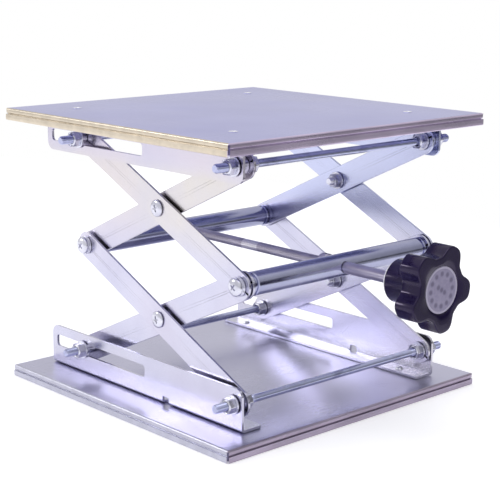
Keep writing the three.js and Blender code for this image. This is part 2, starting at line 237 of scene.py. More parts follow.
def piece(name, body, material, edge=0):
    """An object made of the body, smooth but for its corners. edge rounds those off."""
    mesh = bpy.data.meshes.new(name)
    body.to_mesh(mesh)
    body.free()
    mesh.materials.append(material)
    mesh.shade_smooth()
    made = bpy.data.objects.new(name, mesh)
    bpy.context.scene.collection.objects.link(made)
    if edge:
        bevel = made.modifiers.new("edge", "BEVEL")
        bevel.width = edge
        bevel.segments = 3
        bevel.angle_limit = BEVEL_FROM
        bevel.harden_normals = True
    else:
        mesh.set_sharp_from_angle(angle=SHARP_FROM)
    return made


def stands_for(made, *nodes):
    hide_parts(*nodes)
    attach(made, RIDES_ON[nodes[0]])
    return made


def middle(node):
    low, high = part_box(node)
    return (low + high) / 2


def carved(body, tool):
    """The body with the tool's shape taken out of it."""
    scene = bpy.context.scene.collection.objects
    pair = []
    for shape in (body, tool):
        mesh = bpy.data.meshes.new("carving")
        shape.to_mesh(mesh)
        shape.free()
        pair.append(bpy.data.objects.new("carving", mesh))
        scene.link(pair[-1])
    cut = pair[0].modifiers.new("cut", "BOOLEAN")
    cut.object = pair[1]
    cut.solver = "EXACT"
    result = bmesh.new()
    result.from_object(pair[0], bpy.context.evaluated_depsgraph_get())
    for made in pair:
        bpy.data.objects.remove(made)
    return result


def hull(points):
    body = bmesh.new()
    for point in points:
        body.verts.new(point)
    bmesh.ops.convex_hull(body, input=body.verts)
    return body


def block(low, high):
    xs, ys, zs = zip(low, high)
    return hull([(x, y, z) for x in xs for y in ys for z in zs])


def bent_strip(thickness, *moves):
    """Outline, as (height, distance), of a strip that starts at the axis and is bent in one
    plane. A move is a length to go straight, or a radius and an angle to turn through."""
    place = Vector((0, 0))
    heading = 0
    sides = ([], [])

    def mark():
        across = Vector((-math.sin(heading), math.cos(heading))) * thickness / 2
        for side, offset in zip(sides, (across, -across)):
            distance, height = place + offset
            side.append((height, distance))

    mark()
    for move in moves:
        steps = 1 if len(move) == 1 else 8
        for _ in range(steps):
            if len(move) == 1:
                place += Vector((math.cos(heading), math.sin(heading))) * move[0]
            else:
                radius, turn = move
                part = turn / steps
                heading += part / 2
                chord = 2 * radius * math.sin(abs(part) / 2)
                place += Vector((math.cos(heading), math.sin(heading))) * chord
                heading += part / 2
            mark()
    return sides[0] + sides[1][::-1]


def satin_plate(place, roof, satin, painted_left_tint, painted_front_tint):
    """Satin stainless. The grain runs along X. painted_left_tint paints light on the left side of the
    plate and painted_front_tint paints light and shade on the front one, by the way each side faces.
    Below roof, its underside is dull."""
    x, y, z = (place.along(axis) for axis in "XYZ")
    grain = place.stretched(1, 60, 60).noise(90, 3, 0.6)
    cloud = place.noise(14, 3, 0.55)
    stain = place.stretched(1, 5, 5).noise(30, 4, 0.6)
    face = cloud.step(0.3, 0.75).blend(satin, tuple(1.1 * part for part in satin))
    edge = PLATE_HALF - 1.4 * MM
    # left and front mask the left and front sides, which get the painted light and shade tints.
    left = (x * -1).step(edge, edge + 0.4 * MM)
    front = (y * -1 + PLATE_Y).step(edge, edge + 0.4 * MM)
    left_painted_light = stain.step(0.3, 0.7).blend(painted_left_tint, tuple(0.86 * part for part in painted_left_tint))
    front_painted_light = stain.step(0.3, 0.7).blend(painted_front_tint, tuple(0.8 * part for part in painted_front_tint))
    inner = PLATE_HALF - 2.6 * MM
    under = 1 - z.step(roof - 0.3 * MM, roof + 0.3 * MM)
    under = under * (1 - x.size().step(inner, inner + 0.4 * MM))
    under = under * (1 - (y - PLATE_Y).size().step(inner, inner + 0.4 * MM))
    outside = front.blend(left.blend(face, left_painted_light), front_painted_light)
    colour = under.blend(outside, (0.55, 0.55, 0.75))
    smear = place.noise(20, 2, 0.5)
    return {
        "Base Color": colour,
        "Metallic": 1.0,
        "Roughness": 0.18 + grain * 0.1 + smear * 0.12 + under * 0.2,
        "Normal": grain.relief(0.02 * MM, 0.25),
    }


PLATE_HALF = (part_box("top_plate")[1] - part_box("top_plate")[0]).x / 2
PLATE_Y = middle("top_plate").y

step_in = 2 * STEP_RADIUS * (1 - math.cos(STEP_ANGLE))
step_length = 2 * STEP_RADIUS * math.sin(STEP_ANGLE)
tray_side = PLATE_HALF - PLATE_SHEET / 2 - 2 * HEM_RADIUS + step_in
tray_drop = PLATE_DEPTH - PLATE_SHEET - FOLD_RADIUS - HEM_RADIUS - STEP_DROP - step_length
quarter = math.radians(90)
TRAY = bent_strip(
    PLATE_SHEET,
    (tray_side - FOLD_RADIUS,),
    (FOLD_RADIUS, -quarter),
    (STEP_DROP,),
    (STEP_RADIUS, -STEP_ANGLE),
    (STEP_RADIUS, STEP_ANGLE),
    (tray_drop,),
    (HEM_RADIUS, 2 * quarter),
    (HEM_RETURN,),
)

# For each plate: its satin colour, the painted light tint of the left side and the painted light and
# shade tint of the front side.
for node, *tints in (
    ("base_plate", (0.50, 0.49, 0.64), (0.54, 0.54, 0.64), (0.42, 0.36, 0.47)),
    ("top_plate", (0.41, 0.41, 0.71), (0.68, 0.60, 0.49), (0.70, 0.60, 0.80)),
):
    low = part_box(node)[0]
    roof = low.z + PLATE_DEPTH - PLATE_SHEET / 2
    square = [(height + roof, distance * math.sqrt(2)) for height, distance in TRAY]
    tray = moved(turned(square, 4), (0, PLATE_Y, 0))
    for sign_x in (-1, 1):
        for sign_y in (-1, 1):
            slit = block(
                (-SLIT_REACH, -CORNER_SLIT / 2, low.z - SLIT_REACH),
                (SLIT_REACH, CORNER_SLIT / 2, roof - PLATE_SHEET / 2),
            )
            lean = Matrix.Rotation(math.atan2(sign_y, sign_x), 4, "Z")
            corner = (sign_x * PLATE_HALF, PLATE_Y + sign_y * PLATE_HALF, 0)
            tray = carved(tray, moved(slit, corner, lean))
    look = finish(node, lambda place: satin_plate(place, roof, *tints))
    stands_for(piece("folded_" + node, tray, look), node)
    tab_face = tray_side - PLATE_SHEET / 2 - TAB_GAP
    for number, (sign_x, sign_y) in enumerate(((-1, -1), (1, -1), (1, 1), (-1, 1)), 1):
        outline = [
            (tab_face, tab_face - TAB_LEG), (tab_face, tab_face), (tab_face - TAB_LEG, tab_face),
            (tab_face - TAB_LEG, tab_face - PLATE_SHEET),
            (tab_face - PLATE_SHEET, tab_face - PLATE_SHEET),
            (tab_face - PLATE_SHEET, tab_face - TAB_LEG),
        ]
        tab = bmesh.new()
        ends = []
        for height in (low.z + TAB_LIFT, roof - PLATE_SHEET / 2 - TAB_GAP):
            ring = [tab.verts.new((sign_x * x, PLATE_Y + sign_y * y, height)) for x, y in outline]
            tab.faces.new(ring)
            ends.append(ring)
        for here in range(len(outline)):
            beside = (here + 1) % len(outline)
            tab.faces.new((ends[0][here], ends[0][beside], ends[1][beside], ends[1][here]))
        bmesh.ops.recalc_face_normals(tab, faces=tab.faces)
        made = piece(f"corner_tab_{node}_{number}", tab, look, TAB_EDGE)
        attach(made, RIDES_ON[node])


# ---------------------------------------------------------------------------------------------
# Brackets. Angles of 1.5 mm zinc-plated steel, blanked flat and then folded along the middle of
# the bend. A web carries the slot for the sliding axle and the hole for the fixed one, and a
# notch at the bend drops over a lug of the plate.

BRACKET_SHEET = 1.5 * MM
BRACKET_BEND = 1.25 * MM
BRACKET_CORNER = 5 * MM
SLOT_FROM_FRONT = 83 * MM
SLOT_FROM_BACK = 4.5 * MM
SLOT_HEIGHT = 7.2 * MM
SLOT_CORNER = 2 * MM
NOTCH_FROM_FRONT = 64 * MM
NOTCH_HALF = 2.8 * MM
NOTCH_HEIGHT = 4.4 * MM
NOTCH_CORNER = 0.4 * MM
FLANGE_CORNER = 1.5 * MM
BRACKET_EDGE = 0.2 * MM
BOLT_HOLE = 2.8 * MM


def window(x0, x1, y0, y1, radius, far_radius=None):
    """The points of a rectangle with round corners. far_radius is for those at x1."""
    far = radius if far_radius is None else far_radius
    corners = [(x0, y0, radius), (x1, y0, far), (x1, y1, far), (x0, y1, radius)]
    points = []
    for index, (x, y, bend) in enumerate(corners):
        here = Vector((x, y))
        back = (Vector(corners[index - 1][:2]) - here).normalized() * bend
        ahead = (Vector(corners[(index + 1) % 4][:2]) - here).normalized() * bend
        steps = 8 if bend else 0
        for step in range(steps + 1):
            turn = step / max(steps, 1) * math.pi / 2
            point = here + back + ahead - ahead * math.cos(turn) - back * math.sin(turn)
            if not points or (point - points[-1]).length > 1e-6:
                points.append(point)
    return points if (points[0] - points[-1]).length > 1e-6 else points[:-1]


def ring_hole(x, y, radius):
    return window(x - radius, x + radius, y - radius, y + radius, radius)


def sheet(outlines, thickness):
    """A flat sheet in X and Y, with its thickness about z = 0. Outlines inside one are holes."""
    flat = bmesh.new()
    for outline in outlines:
        corners = [flat.verts.new((*point, -thickness / 2)) for point in outline]
        for here, there in zip(corners, corners[1:] + corners[:1]):
            flat.edges.new((here, there))
    bmesh.ops.triangle_fill(flat, use_beauty=True, use_dissolve=False, edges=flat.edges)
    raised = bmesh.ops.extrude_face_region(flat, geom=flat.faces[:], use_keep_orig=True)
    upper = [part for part in raised["geom"] if isinstance(part, bmesh.types.BMVert)]
    bmesh.ops.translate(flat, vec=(0, 0, thickness), verts=upper)
    bmesh.ops.recalc_face_normals(flat, faces=flat.faces)
    return flat


def folded(flat, line, radius, angle):
    """The flat sheet folded up along Y, from the line x = line, round that middle radius."""
    length = radius * angle
    steps = 8
    for step in range(steps + 1):
        everything = flat.verts[:] + flat.edges[:] + flat.faces[:]
        cut = (line + length * step / steps, 0, 0)
        bmesh.ops.bisect_plane(flat, geom=everything, plane_co=cut, plane_no=(1, 0, 0), dist=1e-7)
    for vert in flat.verts:
        past = vert.co.x - line
        if past > 0:
            turn = min(past, length) / radius
            beyond = max(past - length, 0)
            reach = radius - vert.co.z
            vert.co.x = line + reach * math.sin(turn) + beyond * math.cos(turn)
            vert.co.z = radius - reach * math.cos(turn) + beyond * math.sin(turn)
    return flat


def bright_zinc(place):
    """Zinc plate on pressed steel: pale and a little cloudy, with fine handling marks. Its film is
    cream and rose at random. Painted light adds cream on the upper arms at the left and rose on the
    bracket above them, and a painted reflection makes the right blue."""
    cloud = place.noise(22, 4, 0.6)
    film = place.noise(9, 2, 0.5)
    marks = place.stretched(1, 7, 7).noise(260, 3, 0.7)
    base = cloud.step(0.3, 0.72).blend((0.545, 0.54, 0.68), (0.625, 0.62, 0.75))
    height = place.along("Z")
    # The random film gives real cream and rose; the left and height masks add painted light to them,
    # and the right side gets a painted blue reflection.
    left = 1 - place.along("X").step(-0.02, 0.05)
    top_end = height.step(0.137, 0.15)
    cream_film_and_painted_light = film.step(0.5, 0.68) * 0.25 + height.step(0.085, 0.12) * (1 - top_end) * left * cloud
    painted_blue_reflection = place.along("X").step(0.02, 0.07) * height.step(0.085, 0.11) * 0.7
    rose_film_and_painted_light = (1 - film).step(0.55, 0.75) * 0.3 + top_end * left * cloud * 0.8
    tinted = rose_film_and_painted_light.blend(cream_film_and_painted_light.blend(base, (0.69, 0.64, 0.55)), (0.67, 0.59, 0.66))
    colour = painted_blue_reflection.blend(tinted, (0.53, 0.57, 0.80))
    return {
        "Base Color": colour,
        "Metallic": 1.0,
        "Roughness": 0.17 + cloud * 0.14 + marks.step(0.55, 0.8) * 0.12,
        "Normal": marks.relief(0.02 * MM, 0.2),
    }


ZINC = finish("zinc_sheet", bright_zinc)

low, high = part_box("lower_bracket_right")
pivot = middle("lower_fixed_axle")
web_line = high.x - BRACKET_SHEET / 2 - BRACKET_BEND
bend_length = BRACKET_BEND * quarter
web_start = web_line + bend_length - BRACKET_SHEET / 2 - BRACKET_BEND - low.z
slot_middle = web_start + pivot.z
blank = [
    window(low.x, web_start + high.z, low.y, high.y, FLANGE_CORNER, BRACKET_CORNER),
    window(
        slot_middle - SLOT_HEIGHT / 2, slot_middle + SLOT_HEIGHT / 2,
        low.y + SLOT_FROM_FRONT, high.y - SLOT_FROM_BACK, SLOT_CORNER,
    ),
    ring_hole(slot_middle, pivot.y, BOLT_HOLE),
    window(
        web_line - 1.5 * MM, web_start + low.z + NOTCH_HEIGHT,
        low.y + NOTCH_FROM_FRONT - NOTCH_HALF, low.y + NOTCH_FROM_FRONT + NOTCH_HALF, NOTCH_CORNER,
    ),
]
for side, sign in (("right", 1), ("left", -1)):
    for stage, up in (("lower", 1), ("upper", -1)):
        node = f"{stage}_bracket_{side}"
        angle = folded(sheet(blank, BRACKET_SHEET), web_line, BRACKET_BEND, quarter)
        flip = Matrix.Diagonal((sign, 1, up, 1))
        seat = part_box(node)[0].z if up > 0 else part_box(node)[1].z
        angle = moved(angle, (0, 0, seat + up * BRACKET_SHEET / 2), flip)
        if sign != up:
            bmesh.ops.reverse_faces(angle, faces=angle.faces)
        made = piece("folded_" + node, angle, ZINC, BRACKET_EDGE)
        stands_for(made, node)


# ---------------------------------------------------------------------------------------------
# Rivets. Eight solid steel rivets hold the brackets to the plates. The dome lies on the
# bracket's flange, and the tail is peened over in the plate, where it shows as a dimpled disc.

RIVET_X = 68.5 * MM
RIVET_ROWS = (-68 * MM, 71 * MM)
RIVET_RADIUS = 2.3 * MM
RIVET_DOME = 1.5 * MM
RIVET_GRIP = 2.6 * MM
PEENED = 0.35 * MM
DIMPLE = 0.7 * MM


def dull_zinc(place):
    """Barrel-plated steel, with tiny pits and a patchy sheen."""
    grain = place.noise(900, 3, 0.6)
    patch = place.noise(160, 2, 0.5)
    colour = patch.step(0.3, 0.7).blend((0.58, 0.58, 0.68), (0.74, 0.74, 0.84))
    return {
        "Base Color": colour,
        "Metallic": 1.0,
        "Roughness": 0.16 + patch * 0.16,
        "Normal": grain.relief(0.03 * MM, 0.35),
    }


def struck_steel(place):
    """Bare rivet steel, burnished bright by the peening tool, with fine radial scuffs."""
    scuff = place.noise(600, 3, 0.7)
    colour = scuff.step(0.35, 0.7).blend((0.84, 0.84, 0.92), (0.96, 0.96, 1.0))
    return {
        "Base Color": colour,
        "Metallic": 1.0,
        "Roughness": 0.2 + scuff * 0.15,
        "Normal": scuff.relief(0.02 * MM, 0.3),
    }


FASTENER = finish("fastener_zinc", dull_zinc)
RIVET_STEEL = finish("rivet_steel", struck_steel)


def belongs(made, body):
    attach(made, body)
    return made


rivet = turned(
    [
        (RIVET_DOME, 0), (0.93 * RIVET_DOME, 0.35 * RIVET_RADIUS),
        (0.72 * RIVET_DOME, 0.68 * RIVET_RADIUS), (0.35 * RIVET_DOME, 0.92 * RIVET_RADIUS),
        (0, RIVET_RADIUS), (0, 0.6 * RIVET_RADIUS), (-RIVET_GRIP, 0.6 * RIVET_RADIUS),
        (-RIVET_GRIP, 1.1 * RIVET_RADIUS), (-RIVET_GRIP - 0.5 * PEENED, 1.13 * RIVET_RADIUS),
        (-RIVET_GRIP - PEENED, 0.9 * RIVET_RADIUS), (-RIVET_GRIP - PEENED, 0.5 * RIVET_RADIUS),
        (-RIVET_GRIP + DIMPLE, 0.3 * RIVET_RADIUS), (-RIVET_GRIP + DIMPLE, 0),
    ],
    32,
)
for stage, up in (("lower", 1), ("upper", -1)):
    for side, sign in (("left", -1), ("right", 1)):
        low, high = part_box(f"{stage}_bracket_{side}")
        flange = low.z + BRACKET_SHEET if up > 0 else high.z - BRACKET_SHEET
        for row, along in (("front", RIVET_ROWS[0]), ("rear", RIVET_ROWS[1])):
            flip = Matrix.Rotation(0 if up > 0 else math.pi, 4, "X")
            body = moved(rivet.copy(), (sign * RIVET_X, PLATE_Y + along, flange), flip)
            made = piece(f"rivet_{stage}_{side}_{row}", body, RIVET_STEEL)
            belongs(made, "base" if up > 0 else "top")
rivet.free()


# ---------------------------------------------------------------------------------------------
# Arms. Eight equal links, blanked from 1.5 mm sheet with round ends and three holes, and zinc
# plated like the brackets. In each pair the inner arm leans the other way.

ARM_HOLE = 2.8 * MM
ARM_EDGE = 0.2 * MM


def at_pivot(node):
    place = middle(node)
    return Vector((place.y, place.z))


PIVOTS = {name: at_pivot(name) for name in (
    "lower_fixed_axle", "lower_sliding_axle", "upper_fixed_axle", "upper_sliding_axle",
    "front_crossbar", "rear_crossbar",
)}
ARMS = {
    "lower_outer": ("lower_fixed_axle", "rear_crossbar"),
    "lower_inner": ("lower_sliding_axle", "front_crossbar"),
    "upper_outer": ("front_crossbar", "upper_sliding_axle"),
    "upper_inner": ("rear_crossbar", "upper_fixed_axle"),
}
for name, (start, end) in ARMS.items():
    reach = PIVOTS[end] - PIVOTS[start]
    length = reach.length
    for side in ("left", "right"):
        node = f"{name}_arm_{side}"
        low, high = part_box(node)
        width = high.z - low.z - abs(reach.y)
        half = width / 2
        outlines = [window(-half, length + half, -half, half, half - 1e-6)]
        outlines += [ring_hole(length * part, 0, ARM_HOLE) for part in (0, 0.5, 1)]
        flat = sheet(outlines, high.x - low.x)
        heading = reach.normalized()
        stand = Matrix((
            (0, 0, 1, 0),
            (heading.x, -heading.y, 0, 0),
            (heading.y, heading.x, 0, 0),
            (0, 0, 0, 1),
        ))
        start_place = ((low.x + high.x) / 2, *PIVOTS[start])
        made = piece("blanked_" + node, moved(flat, start_place, stand), ZINC, ARM_EDGE)
        stands_for(made, node)


# ---------------------------------------------------------------------------------------------
# Crossbars. Two solid round bars, turned and chromed, that join the left and right arms at the
# middle of the jack. Each end has a groove and a narrow shoulder ring, and a tapped hole.

BAR_GROOVE = 1.7 * MM
BAR_RING = 1.8 * MM
BAR_CHAMFER = 0.5 * MM
BAR_NECK = 0.9 * MM
TAPPED_DEPTH = 6 * MM
BORE = 3.3 * MM

ALONG_X = {1: Matrix.Rotation(quarter, 4, "Y"), -1: Matrix.Rotation(-quarter, 4, "Y")}


def chrome(place):
    """Bright chrome over a turned bar: faint rings from the tool and a few dull patches."""
    rings = place.stretched(50, 1, 1).noise(70, 3, 0.7)
    haze = place.stretched(0.5, 1, 1).noise(60, 3, 0.6)
    colour = haze.step(0.35, 0.75).blend((0.34, 0.35, 0.52), (0.44, 0.45, 0.62))
    return {
        "Base Color": colour,
        "Metallic": 1.0,
        "Roughness": 0.17 + haze.step(0.4, 0.8) * 0.13,
        "Normal": rings.relief(0.01 * MM, 0.3),
    }


CHROME = finish("chrome_bar", chrome)

for node in ("front_crossbar", "rear_crossbar"):
    low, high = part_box(node)
    half = (high.x - low.x) / 2
    radius = (high.z - low.z) / 2
    ring = half - BAR_RING
    groove = ring - BAR_GROOVE
    end = [
        (groove - BAR_CHAMFER, radius), (groove, radius - BAR_CHAMFER), (groove, radius - BAR_NECK),
        (ring, radius - BAR_NECK), (ring, radius - 0.6 * BAR_CHAMFER),
        (ring + 0.6 * BAR_CHAMFER, radius), (half - BAR_CHAMFER, radius),
        (half, radius - BAR_CHAMFER), (half, ARM_HOLE), (half - TAPPED_DEPTH, ARM_HOLE),
        (half - TAPPED_DEPTH, 0),
    ]
    stations = [(-height, reach) for height, reach in end[::-1]] + end
    bar = moved(turned(stations, 64), middle(node), ALONG_X[1])
    bore = turned([(-2 * radius, 0), (-2 * radius, BORE), (2 * radius, BORE), (2 * radius, 0)], 40)
    bore = moved(bore, middle(node), Matrix.Rotation(quarter, 4, "X"))
    made = piece("turned_" + node, carved(bar, bore), CHROME)
    stands_for(made, node)


# ---------------------------------------------------------------------------------------------
# Lead screw and its collar. A machined steel screw: a plain shank from the knob to its shoulder
# on the front crossbar, a journal through that bar, then the thread that pulls the rear bar.

SCREW_PITCH = 1.5 * MM
SCREW_THREAD = 0.45 * MM
JOURNAL = 3 * MM
SHANK = 3.4 * MM
SCREW_CHAMFER = 0.8 * MM
COLLAR_BORE = 3.1 * MM
# Span and fade of a painted highlight band on the lead screw, behind the front crossbar.
PAINTED_HIGHLIGHT_SPAN = (63.5 * MM, 78 * MM)
PAINTED_HIGHLIGHT_FADE = 1 * MM
PIN_RADIUS = 0.9 * MM


def thread_shape(crest, pitch, depth):
    """Cuts a thread in the stations that have the crest's radius."""
    def shape(height, angle, radius):
        if abs(radius - crest) > 1e-7:
            return radius
        turn = (height / pitch - angle / (2 * math.pi)) % 1
        return crest - depth * (1 - abs(2 * turn - 1))
    return shape


def thread_rows(start, end, radius, pitch):
    count = round((end - start) / pitch * 7)
    return [(start + (end - start) * row / count, radius) for row in range(count + 1)]


def machined_steel(place):
    """Turned carbon steel under a thin film of oil, brown-grey, with a painted highlight for a short
    way.
    """
    rings = place.stretched(1, 60, 1).noise(60, 3, 0.7)
    film = place.stretched(1, 0.5, 1).noise(45, 3, 0.6)
    oiled = film.step(0.35, 0.7).blend((0.48, 0.45, 0.55), (0.66, 0.62, 0.74))
    # A near-white painted highlight band on the screw, a set distance behind the front crossbar.
    behind = place.along("Y") - PIVOTS["front_crossbar"].x
    start, end = PAINTED_HIGHLIGHT_SPAN
    painted_highlight = behind.step(start, start + PAINTED_HIGHLIGHT_FADE)
    painted_highlight = painted_highlight * (1 - behind.step(end - PAINTED_HIGHLIGHT_FADE, end))
    return {
        "Base Color": (painted_highlight * 0.9).blend(oiled, (0.95, 0.93, 1.0)),
        "Metallic": 1.0,
        "Roughness": 0.24 + film * 0.2,
        "Normal": rings.relief(0.02 * MM, 0.4),
    }


SCREW_STEEL = finish("screw_steel", machined_steel)

low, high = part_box("lead_screw")
bar_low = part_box("front_crossbar")[0]
BACKWARD = Matrix.Rotation(-quarter, 4, "X")
shoulder = bar_low.y - 0.2 * MM - low.y
journal_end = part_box("screw_collar")[1].y + 1 * MM - low.y
length = high.y - low.y
screw = turned(
    [
        (0, 0), (0, SHANK - 0.4 * MM), (0.4 * MM, SHANK),
        (shoulder - 0.3 * MM, SHANK), (shoulder, SHANK - 0.3 * MM), (shoulder, JOURNAL - 0.1 * MM),
        (journal_end, JOURNAL - 0.1 * MM),
        *thread_rows(journal_end + 0.6 * MM, length - SCREW_CHAMFER, JOURNAL, SCREW_PITCH),
        (length, JOURNAL - SCREW_CHAMFER), (length, 0),
    ],
    32, thread_shape(JOURNAL, SCREW_PITCH, SCREW_THREAD),
)
centre = middle("lead_screw")
screw = moved(screw, (centre.x, low.y, centre.z), BACKWARD)
stands_for(piece("threaded_lead_screw", screw, SCREW_STEEL), "lead_screw")

low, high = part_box("screw_collar")
radius = (high.x - low.x) / 2
length = high.y - low.y
edge = 0.5 * MM
collar = turned(
    [
        (0, COLLAR_BORE), (0, radius - edge), (edge, radius), (length - edge, radius),
        (length, radius - edge), (length, COLLAR_BORE), (0, COLLAR_BORE),
    ],
    48,
)
centre = middle("screw_collar")
pin_hole = turned([(0, 0), (0, PIN_RADIUS), (2 * radius, PIN_RADIUS), (2 * radius, 0)], 24)
collar = moved(collar, (centre.x, low.y, centre.z), BACKWARD)
collar = carved(collar, moved(pin_hole, centre))
stands_for(piece("turned_screw_collar", collar, SCREW_STEEL), "screw_collar")


# ---------------------------------------------------------------------------------------------
# Knob. A five-lobed star knob moulded in black phenolic, with a round hub that is pressed on
# the screw's shank. A thin white plastic washer lies behind the hub.

KNOB_LOBES = 5
LOBE_WAVE = 3.6 * MM
LOBE_FLAT = 0.4 * MM
LOBE_MEAN = 20.8 * MM
LOBE_TURN = math.radians(63)
LOBE_DEPTH = 13 * MM
HUB_RADIUS = 12 * MM
MOULD_EDGE = 0.8 * MM


def lobed(height, angle, radius):
    """The star outline, which fades out towards the round hub and the cap's recess."""
    fade = min(max((radius - 13.6 * MM) / (5 * MM), 0), 1)
    fade = fade * fade * (3 - 2 * fade)
    turn = angle - LOBE_TURN
    wave = LOBE_WAVE * math.cos(KNOB_LOBES * turn) - LOBE_FLAT * math.cos(3 * KNOB_LOBES * turn)
    return radius + fade * wave


def rounded(height, radius, bend, start, end, steps=5):
    """Stations round an edge. The middle of the round is at that height and radius."""
    stations = []
    for step in range(steps + 1):
        angle = math.radians(start + (end - start) * step / steps)
        stations.append((height + bend * math.sin(angle), radius + bend * math.cos(angle)))
    return stations


def phenolic(place):
    """Black phenolic: moulded gloss with a soft ripple, dusty flow marks and handling wear."""
    flow = place.noise(38, 4, 0.6)
    dust = place.noise(700, 2, 0.7)
    colour = flow.step(0.35, 0.75).blend((0.006, 0.003, 0.024), (0.012, 0.007, 0.038))
    return {
        "Base Color": colour,
        "Roughness": 0.11 + flow * 0.07 + dust.step(0.55, 0.8) * 0.05,
        "Normal": flow.relief(0.12 * MM, 0.15),
        "Specular IOR Level": 0.42,
        "Specular Tint": (0.82, 0.70, 1, 1),
    }


PHENOLIC = finish("black_plastic", phenolic)

low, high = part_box("knob")
centre = middle("lead_screw")
FORWARD = Matrix.Rotation(quarter, 4, "X")
length = high.y - low.y
back = length - LOBE_DEPTH
cap_low, cap_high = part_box("knob_cap")
recess = (cap_high.x - cap_low.x) / 2 + 0.15 * MM
floor_of_recess = length - (cap_high.y - cap_low.y) - 0.1 * MM
bore = SHANK + 0.05 * MM
face = length - MOULD_EDGE
star = turned(
    [
        (0, bore),
        *rounded(MOULD_EDGE, HUB_RADIUS - MOULD_EDGE, MOULD_EDGE, -90, 0),
        (back - 1.2 * MM, HUB_RADIUS + 0.1 * MM), (back - 0.4 * MM, HUB_RADIUS + 0.5 * MM),
        (back, HUB_RADIUS + 1.3 * MM), (back, 17 * MM), (back, 19 * MM),
        *rounded(back + MOULD_EDGE, LOBE_MEAN - MOULD_EDGE, MOULD_EDGE, -90, 0),
        (back + LOBE_DEPTH / 2, LOBE_MEAN),
        *rounded(face, LOBE_MEAN - MOULD_EDGE, MOULD_EDGE, 0, 90),
        (length, 19 * MM), (length, 17 * MM), (length, recess + 0.5 * MM),
        (length - 0.3 * MM, recess), (floor_of_recess, recess), (floor_of_recess, bore),
        (0, bore),
    ],
    180, lobed,
)
star = moved(star, (centre.x, high.y, centre.z), FORWARD)
stands_for(piece("moulded_knob", star, PHENOLIC), "knob")

NYLON_SHEET = 1.5 * MM
NYLON_RADIUS = 10.6 * MM
NYLON_GAP = 0.2 * MM
edge = 0.4 * MM
spacer = turned(
    [
        (0, SHANK + 0.1 * MM), (0, NYLON_RADIUS - edge), (edge, NYLON_RADIUS),
        (NYLON_SHEET - edge, NYLON_RADIUS), (NYLON_SHEET, NYLON_RADIUS - edge),
        (NYLON_SHEET, SHANK + 0.1 * MM), (0, SHANK + 0.1 * MM),
    ],
    64,
)


def nylon(place):
    """White nylon, a little translucent, with faint flow lines."""
    flow = place.noise(90, 3, 0.6)
    return {
        "Base Color": flow.step(0.3, 0.7).blend((0.80, 0.79, 0.86), (0.90, 0.89, 0.94)),
        "Roughness": 0.35 + flow * 0.15,
        "Normal": flow.relief(0.05 * MM, 0.2),
    }


spacer = moved(spacer, (centre.x, high.y + NYLON_GAP, centre.z), BACKWARD)
belongs(piece("knob_washer", spacer, finish("nylon", nylon)), "knob_and_screw")


# ---------------------------------------------------------------------------------------------
# Knob cap. A thin grey plastic disc pressed into the knob's face. It has a raised rim and a
# plain pattern of printed dots: a ring of twelve and a short row across the middle.

CAP_RIM = 0.9 * MM
CAP_DISH = 0.25 * MM
DOT_RING = 8.7 * MM
DOT_COUNT = 12
DOT_RADIUS = 1.4 * MM
DOT_ROW = ((-2.6, 1.7), (0, 0), (2.4, -1.6))


radius = (cap_high.x - cap_low.x) / 2


def printed_cap(place):
    """Matt grey plastic with soft grey printed dots."""
    across = place.along("X") - centre.x
    up = place.along("Z") - centre.z
    print_mask = None
    spots = []
    for dot in range(DOT_COUNT):
        angle = 2 * math.pi * dot / DOT_COUNT
        spots.append((DOT_RING * math.cos(angle), DOT_RING * math.sin(angle)))
    spots += [(x * MM, z * MM) for x, z in DOT_ROW]
    for x, z in spots:
        offset_x = across - x
        offset_z = up - z
        away = (offset_x * offset_x + offset_z * offset_z).root()
        spot = 1 - away.step(0.4 * DOT_RADIUS, 1.5 * DOT_RADIUS)
        print_mask = spot if print_mask is None else print_mask.either(spot)
    speckle = place.noise(500, 3, 0.6)
    matt = speckle.step(0.3, 0.7).blend((0.24, 0.215, 0.34), (0.29, 0.265, 0.39))
    from_middle = (across * across + up * up).root()
    rim = from_middle.step(radius - CAP_RIM - 0.5 * MM, radius - CAP_RIM)
    tone = rim.blend(matt, (0.40, 0.37, 0.50))
    return {
        "Base Color": (print_mask * 0.8).blend(tone, (0.10, 0.085, 0.16)),
        "Roughness": 0.42 + speckle * 0.15,
        "Normal": speckle.relief(0.03 * MM, 0.3),
    }


thick = cap_high.y - cap_low.y
cap = turned(
    [
        (0, 0), (0, radius - 0.2 * MM), (0.2 * MM, radius), (thick - 0.4 * MM, radius),
        *rounded(thick - 0.4 * MM, radius - 0.4 * MM, 0.4 * MM, 20, 90, 3),
        (thick - 0.05 * MM, radius - CAP_RIM), (thick - CAP_DISH, radius - CAP_RIM - 0.25 * MM),
        (thick - CAP_DISH, radius / 2), (thick - CAP_DISH, 0),
    ],
    96,
)
cap = moved(cap, (centre.x, cap_high.y, centre.z), FORWARD)
stands_for(piece("printed_knob_cap", cap, finish("cap_plastic", printed_cap)), "knob_cap")


# ---------------------------------------------------------------------------------------------
# Axles. Four plain bright rods with a thread rolled on each end. Two are fixed in the brackets'
# round holes at the front, and two slide in the slots at the rear.

AXLE_PITCH = 0.8 * MM
AXLE_THREAD = 0.32 * MM
THREAD_CREST = 2.5 * MM
THREADED = 27 * MM
ROD = 2.2 * MM
ROD_CHAMFER = 0.6 * MM


def drawn_steel(place):
    """Cold drawn rod: bright, with lengthwise drawing lines and a few dark stains."""
    lines = place.stretched(1, 50, 50).noise(40, 3, 0.6)
    stain = place.stretched(1, 2, 2).noise(70, 3, 0.6)
    colour = stain.step(0.5, 0.75).blend((0.44, 0.46, 0.66), (0.27, 0.28, 0.44))
    return {
        "Base Color": colour,
        "Metallic": 1.0,
        "Roughness": 0.12 + stain * 0.14,
        "Normal": lines.relief(0.01 * MM, 0.3),
    }


